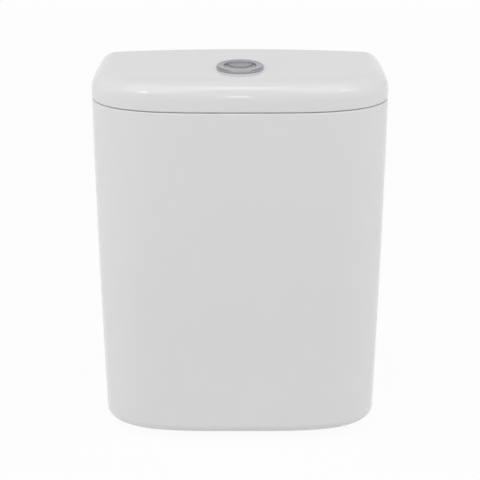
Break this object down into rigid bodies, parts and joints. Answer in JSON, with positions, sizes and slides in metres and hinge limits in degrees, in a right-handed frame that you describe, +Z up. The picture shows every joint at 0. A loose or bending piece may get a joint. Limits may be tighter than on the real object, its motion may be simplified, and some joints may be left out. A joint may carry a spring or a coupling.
{
  "type": "toilet cistern",
  "caption": "Close-coupled white china toilet cistern with lid, round dual-flush push button, drop flush valve, fill valve and coupling bolts.",
  "frame": {"origin": "on the axis of the flush outlet, in the underside plane of the tank floor, midway between the coupling bolts; the walls run 34 mm further down as a foot round the fittings", "axes": "+X to the right seen from the front, -Y to the front, +Y to the wall, +Z up"},
  "size_m": [0.3656, 0.1601, 0.4759],
  "materials": {
    "china_glaze": "white vitreous china, clear gloss glaze",
    "chrome_plate": "bright chrome plate",
    "valve_white": "moulded white ABS",
    "valve_grey": "moulded grey polypropylene",
    "valve_blue": "moulded blue acetal",
    "rod_white": "moulded natural nylon",
    "black_rubber": "black EPDM rubber",
    "seal_silicone": "red silicone rubber",
    "foam_gasket": "black closed-cell foam rubber",
    "bolt_steel": "stainless steel"
  },
  "bodies": {
    "cistern": {"cistern_body": "china_glaze", "valve_base": "valve_white", "valve_base_washer": "black_rubber", "flush_backnut": "valve_white", "coupling_gasket": "foam_gasket", "valve_cage": "valve_white", "valve_head": "valve_grey", "full_lever_pin": "rod_white", "half_lever_pin": "rod_white", "coupling_bolts": "bolt_steel", "bolt_cone_washers": "black_rubber", "bolt_steel_washers": "bolt_steel", "fill_shank": "valve_white", "fill_washer": "black_rubber", "fill_backnut": "valve_white", "inlet_filter": "rod_white", "riser_tube": "valve_grey", "riser_lock_collar": "valve_blue", "fill_head": "valve_white", "fill_cap": "valve_blue", "fill_lever_pin": "rod_white", "blanking_plug": "valve_white", "blanking_washer": "black_rubber", "blanking_backnut": "valve_white"},
    "lid": {"lid": "china_glaze", "button_bezel": "chrome_plate", "bezel_gasket": "black_rubber", "lid_nut": "valve_white", "button_housing": "valve_white", "full_return_spring": "bolt_steel", "half_return_spring": "bolt_steel"},
    "full_button": {"full_flush_button": "chrome_plate", "full_push_rod": "rod_white"},
    "half_button": {"half_flush_button": "chrome_plate", "half_push_rod": "rod_white"},
    "full_lever": {"full_lever": "valve_blue"},
    "half_lever": {"half_lever": "valve_blue"},
    "valve_tube": {"overflow_tube": "valve_grey", "valve_seal": "seal_silicone", "seal_clamp": "valve_grey", "lift_yoke": "valve_blue"},
    "half_trip": {"half_trip_rod": "valve_blue", "half_flush_float": "valve_grey"},
    "float": {"float_cup": "rod_white", "float_link_rod": "rod_white"},
    "fill_lever": {"fill_lever": "rod_white"},
    "plunger": {"fill_plunger": "rod_white"}
  },
  "joints": [
    {"name": "lid_lift", "type": "slide", "parent": "cistern", "child": "lid", "axis": [0, 0, 1], "range_m": [0, 0.1]},
    {"name": "full_press", "type": "slide", "parent": "lid", "child": "full_button", "axis": [0, 0, -1], "range_m": [0, 0.008], "stiffness_N_per_m": 250, "springref_m": -0.004, "deforming": ["full_return_spring"]},
    {"name": "half_press", "type": "slide", "parent": "lid", "child": "half_button", "axis": [0, 0, -1], "range_m": [0, 0.008], "stiffness_N_per_m": 250, "springref_m": -0.004, "deforming": ["half_return_spring"]},
    {"name": "full_lever_tilt", "type": "hinge", "parent": "cistern", "child": "full_lever", "pos_m": [0.018, 0.008, 0.322], "axis": [0, -1, 0], "range_deg": [0, 25.6]},
    {"name": "valve_lift", "type": "slide", "parent": "cistern", "child": "valve_tube", "axis": [0, 0, 1], "range_m": [0, 0.0121]},
    {"name": "half_lever_tilt", "type": "hinge", "parent": "cistern", "child": "half_lever", "pos_m": [-0.018, -0.012, 0.322], "axis": [0, 1, 0], "range_deg": [0, 25.6]},
    {"name": "half_trip_lift", "type": "slide", "parent": "cistern", "child": "half_trip", "axis": [0, 0, 1], "range_m": [0, 0.0121]},
    {"name": "float_rise", "type": "slide", "parent": "cistern", "child": "float", "axis": [0, 0, 1], "range_m": [0, 0.008]},
    {"name": "fill_lever_tilt", "type": "hinge", "parent": "cistern", "child": "fill_lever", "pos_m": [0.112, 0, 0.3655], "axis": [0, -1, 0], "range_deg": [0, 18.5]},
    {"name": "plunger_press", "type": "slide", "parent": "cistern", "child": "plunger", "axis": [0, 0, -1], "range_m": [0, 0.003]}
  ],
  "couplings": [
    {"joint": "full_lever_tilt", "follows": "full_press", "rad_per_m": 55.556},
    {"joint": "valve_lift", "follows": "full_press", "ratio": 1.5},
    {"joint": "half_lever_tilt", "follows": "half_press", "rad_per_m": 55.556},
    {"joint": "half_trip_lift", "follows": "half_press", "ratio": 1.5},
    {"joint": "fill_lever_tilt", "follows": "float_rise", "rad_per_m": 40},
    {"joint": "plunger_press", "follows": "float_rise", "ratio": 0.36}
  ]
}
